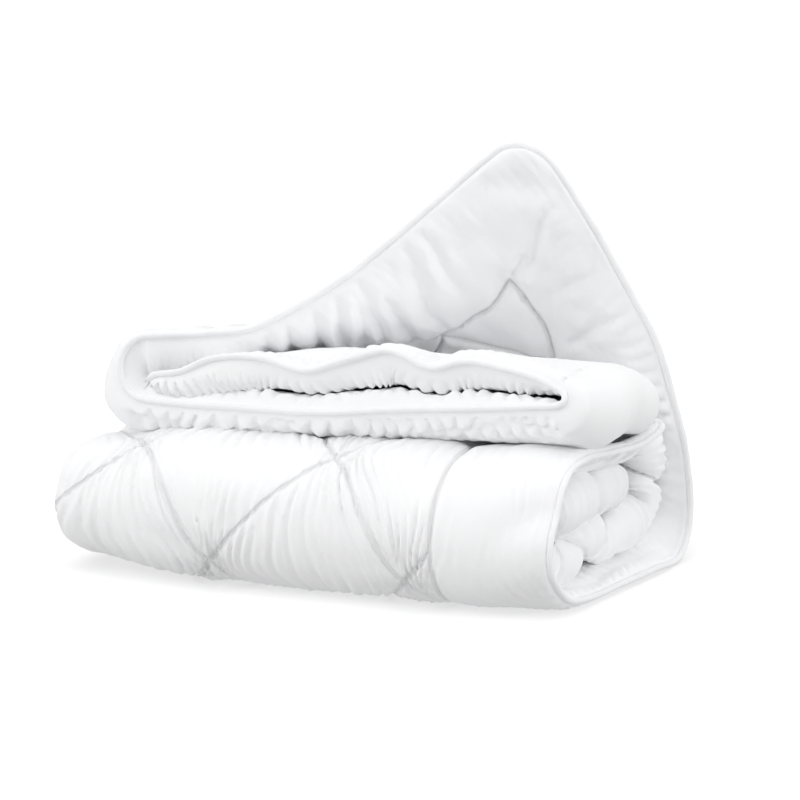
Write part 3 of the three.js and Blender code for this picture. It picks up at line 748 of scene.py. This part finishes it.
# ---- materials -------------------------------------------------------------------
class Nodes:
    """A few shorthands for building a material's nodes."""

    def __init__(self, name, colour, roughness, sheen):
        self.m = bpy.data.materials.new(name)
        self.m.use_nodes = True
        self.t = self.m.node_tree
        self.t.nodes.clear()
        out = self.t.nodes.new("ShaderNodeOutputMaterial")
        self.b = self.t.nodes.new("ShaderNodeBsdfPrincipled")
        self.t.links.new(self.b.outputs[0], out.inputs[0])
        self.b.inputs["Base Color"].default_value = (*colour, 1)
        self.b.inputs["Roughness"].default_value = roughness
        self.b.inputs["Specular IOR Level"].default_value = 0.25
        self.b.inputs["Sheen Weight"].default_value = sheen
        self.b.inputs["Sheen Roughness"].default_value = 0.5

    def put(self, socket, value):
        if isinstance(value, (int, float)):
            socket.default_value = value
        else:
            self.t.links.new(value, socket)

    def math(self, op, *args):
        n = self.t.nodes.new("ShaderNodeMath")
        n.operation = op
        for k, v in enumerate(args):
            self.put(n.inputs[k], v)
        return n.outputs[0]

    def rise(self, value, lo, hi, a=0.0, b=1.0):
        n = self.t.nodes.new("ShaderNodeMapRange")
        n.interpolation_type = "SMOOTHSTEP"
        for k, v in (("Value", value), ("From Min", lo), ("From Max", hi), ("To Min", a), ("To Max", b)):
            self.put(n.inputs[k], v)
        return n.outputs["Result"]

    def uv(self, layer):
        n = self.t.nodes.new("ShaderNodeUVMap")
        n.uv_map = layer
        x = self.t.nodes.new("ShaderNodeSeparateXYZ")
        self.t.links.new(n.outputs[0], x.inputs[0])
        return n.outputs[0], x.outputs[0], x.outputs[1]

    def place(self):
        n = self.t.nodes.new("ShaderNodeTexCoord")
        return n.outputs["Object"]

    def noise(self, vector, scale, detail=2.0):
        n = self.t.nodes.new("ShaderNodeTexNoise")
        self.put(n.inputs["Vector"], vector)
        n.inputs["Scale"].default_value = scale
        n.inputs["Detail"].default_value = detail
        return n.outputs[0]

    def bump(self, height, distance, strength, before=None):
        n = self.t.nodes.new("ShaderNodeBump")
        n.inputs["Strength"].default_value = strength
        n.inputs["Distance"].default_value = distance
        self.put(n.inputs["Height"], height)
        if before is not None:
            self.t.links.new(before, n.inputs["Normal"])
        return n.outputs[0]

    def tint(self, colour, factor):
        """The base colour, darker where factor is below 1."""
        n = self.t.nodes.new("ShaderNodeMix")
        n.data_type = "RGBA"
        n.inputs[6].default_value = (colour[0] * 0.6, colour[1] * 0.6, colour[2] * 0.62, 1)
        n.inputs[7].default_value = (*colour, 1)
        self.put(n.inputs[0], factor)
        self.t.links.new(n.outputs[2], self.b.inputs["Base Color"])


def duvet_material():
    colour = (0.962, 0.965, 0.973)
    k = Nodes("duvet_cotton", colour, 0.88, 0.15)
    flat, u, v = k.uv("flat")
    _, a, b = k.uv("quilt")
    _, du, ds = k.uv("border")
    # distance to the nearest sewn line, in metres
    odd_a = k.math("ABSOLUTE", k.math("SUBTRACT", k.math("FLOORED_MODULO", a, 2.0), 1.0))
    odd_b = k.math("ABSOLUTE", k.math("SUBTRACT", k.math("FLOORED_MODULO", b, 2.0), 1.0))
    cell = 0.001 / math.hypot(1 / DIAMOND_U, 1 / DIAMOND_S)
    m = k.math("MINIMUM", du, ds)
    outside = k.math("LESS_THAN", m, 0.0)
    quilt = k.math("ADD", k.math("MULTIPLY", k.math("MINIMUM", odd_a, odd_b), cell), outside)
    rim = k.math("ABSOLUTE", m)
    loose = k.math("MULTIPLY", k.math("GREATER_THAN", u, 0.745), k.math("GREATER_THAN", v, 1.0))
    seam = k.math("ADD", k.math("MINIMUM", quilt, rim), loose)
    on_flap = k.math("GREATER_THAN", v, 0.95)
    # stitches: dashes about 3 mm long on every line
    on_a = k.math("LESS_THAN", odd_a, odd_b)
    along = k.math("ADD", k.math("MULTIPLY", b, on_a), k.math("MULTIPLY", a, k.math("SUBTRACT", 1.0, on_a)))
    dash_q = k.math("SINE", k.math("MULTIPLY", along, 2 * math.pi * 30))
    dash_f = k.math("SINE", k.math("MULTIPLY", k.math("ADD", u, v), 2 * math.pi / 0.0034))
    on_f = k.math("LESS_THAN", rim, quilt)
    dash = k.math("ADD", k.math("MULTIPLY", dash_f, on_f), k.math("MULTIPLY", dash_q, k.math("SUBTRACT", 1.0, on_f)))
    thread = k.math("MULTIPLY", k.rise(dash, -0.5, 0.1), k.rise(seam, 0.0004, 0.0011, 1.0, 0.0))
    groove = k.rise(seam, 0.0004, 0.0046)
    height = k.math("ADD", groove, k.math("MULTIPLY", thread, 0.35))
    n1 = k.bump(height, 0.0022, 0.9)
    # small creases in the cloth, and its weave
    crease = k.noise(flat, 55.0, 3.0)
    n2 = k.bump(crease, 0.0016, 0.22, n1)
    warp = k.math("SINE", k.math("MULTIPLY", u, 2 * math.pi / 0.0011))
    weft = k.math("SINE", k.math("MULTIPLY", v, 2 * math.pi / 0.0011))
    weave = k.math("ADD", k.math("MULTIPLY", warp, weft), k.math("MULTIPLY", k.noise(flat, 1400.0, 1.0), 0.8))
    n3 = k.bump(weave, 0.00012, 0.35, n2)
    k.t.links.new(n3, k.b.inputs["Normal"])
    # painted shade: the base colour darkens along every sewn line, much more on the flap, for the shadow in the seam
    # grooves; the cloud noise is the cloth's own random tone
    cloud = k.rise(k.noise(k.place(), 7.0, 2.0), 0.3, 0.7, 0.965, 1.0)
    k.tint(colour, k.math("MULTIPLY", cloud, k.rise(seam, 0.0003, 0.0026, k.math("SUBTRACT", 0.92, k.math("MULTIPLY", on_flap, 0.3)), 1.0)))
    return k.m


def piping_material():
    colour = (0.925, 0.928, 0.938)
    k = Nodes("piping_cotton", colour, 0.85, 0.15)
    at = k.place()
    n1 = k.bump(k.noise(at, 130.0, 2.0), 0.0012, 0.35)
    n2 = k.bump(k.noise(at, 1500.0, 1.0), 0.0002, 0.4, n1)
    k.t.links.new(n2, k.b.inputs["Normal"])
    k.tint(colour, k.rise(k.noise(at, 40.0, 2.0), 0.3, 0.7, 0.94, 1.0))
    return k.m


duvet.data.materials.clear()
duvet.data.materials.append(duvet_material())
piping.data.materials.append(piping_material())

# ---- floor and light -------------------------------------------------------------
floor_mesh = bpy.data.meshes.new("floor")
floor_mesh.from_pydata([(-40, -40, 0), (40, -40, 0), (40, 40, 0), (-40, 40, 0)], [], [(0, 1, 2, 3)])
floor = bpy.data.objects.new("floor", floor_mesh)
bpy.context.scene.collection.objects.link(floor)
fm = bpy.data.materials.new("floor")
fm.use_nodes = True
fb = fm.node_tree.nodes["Principled BSDF"]
fb.inputs["Base Color"].default_value = (0.93, 0.93, 0.93, 1)
fb.inputs["Roughness"].default_value = 1.0
fb.inputs["Specular IOR Level"].default_value = 0.0
fb.inputs["Emission Color"].default_value = (1, 1, 1, 1)
fb.inputs["Emission Strength"].default_value = 0.2
floor_mesh.materials.append(fm)
floor.visible_diffuse = False
floor.visible_glossy = False
floor.visible_shadow = False

world = bpy.data.worlds.new("world")
bpy.context.scene.world = world
world.use_nodes = True
wn = world.node_tree
back = wn.nodes["Background"]
back.inputs[1].default_value = 1.0
coord = wn.nodes.new("ShaderNodeTexCoord")
split = wn.nodes.new("ShaderNodeSeparateXYZ")
ramp = wn.nodes.new("ShaderNodeMapRange")
ramp.inputs["From Min"].default_value = -0.6
ramp.inputs["From Max"].default_value = 0.6
ramp.inputs["To Min"].default_value = 0.53
ramp.inputs["To Max"].default_value = 0.56
wn.links.new(coord.outputs["Generated"], split.inputs[0])
wn.links.new(split.outputs["Z"], ramp.inputs["Value"])
wn.links.new(ramp.outputs["Result"], back.inputs[0])


def lamp(name, kind, energy, direction, size):
    l = bpy.data.lights.new(name, kind)
    l.energy = energy
    if kind == "SUN":
        l.angle = size
    o = bpy.data.objects.new(name, l)
    d = np.array(direction, float)
    d /= np.linalg.norm(d)
    x = np.cross([0, 0, 1.0], d)
    x /= np.linalg.norm(x)
    y = np.cross(d, x)
    mw = Matrix.Identity(4)
    for k in range(3):
        mw[k][0], mw[k][1], mw[k][2], mw[k][3] = x[k], y[k], d[k], d[k] * 5
    o.matrix_world = mw
    bpy.context.scene.collection.objects.link(o)


lamp("key", "SUN", 0.6, (-0.85, -0.5, 0.28), math.radians(30))
lamp("window", "SUN", 0.36, (-0.1, -0.9, 0.55), math.radians(40))
lamp("bounce", "SUN", 0.27, (-0.25, -0.75, -0.6), math.radians(60))
lamp("side", "SUN", 0.95, (1.0, 0.08, 0.2), math.radians(50))
lamp("top", "SUN", 0.95, (0.0, -0.15, 1.0), math.radians(80))

sc = bpy.context.scene
sc.view_settings.view_transform = "Standard"
sc.view_settings.look = "None"
sc.view_settings.exposure = 0.0
sc.view_settings.gamma = 1.0
sc.cycles.max_bounces = 12
sc.cycles.diffuse_bounces = 8

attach(duvet, "root")
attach(piping, "root")
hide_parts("duvet")
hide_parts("piping")
